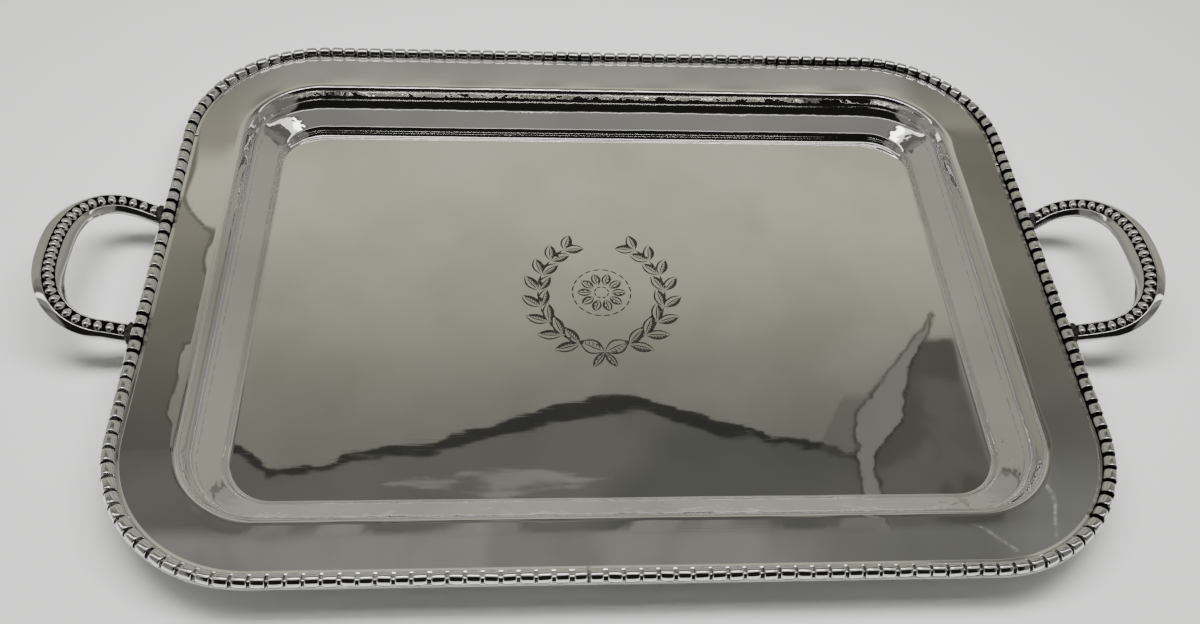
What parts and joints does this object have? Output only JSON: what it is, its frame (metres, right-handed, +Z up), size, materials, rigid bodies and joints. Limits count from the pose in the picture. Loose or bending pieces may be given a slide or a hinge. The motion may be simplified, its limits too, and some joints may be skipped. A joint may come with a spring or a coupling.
{
  "type": "serving tray",
  "caption": "Rounded-rectangular silver serving tray with a stepped well, a beaded border and a raised beaded loop handle at each end",
  "frame": {"origin": "centre of the underside of the tray floor, on the surface the tray stands on", "axes": "+X runs along the length through both handles, +Y across the tray towards its back edge, +Z up"},
  "size_m": [0.5563, 0.3334, 0.0421],
  "materials": {
    "silver_sheet": "polished silver plate with fine scratches",
    "silver_border": "polished silver beads with blackened gaps",
    "silver_handle": "polished silver with blackened recesses",
    "solder": "dark tarnished solder"
  },
  "bodies": {
    "root": {"tray_body": "silver_sheet", "border_right_back": "silver_border", "border_back": "silver_border", "border_back_patch": "silver_border", "border_left_back": "silver_border", "border_left_front": "silver_border", "border_right_front": "silver_border", "handle_right": "silver_handle", "handle_left": "silver_handle", "pearl_strip_right": "silver_handle", "pearl_strip_left": "silver_handle", "solder_right_back": "solder", "solder_right_front": "solder", "solder_left_back": "solder", "solder_left_front": "solder"}
  },
  "joints": []
}
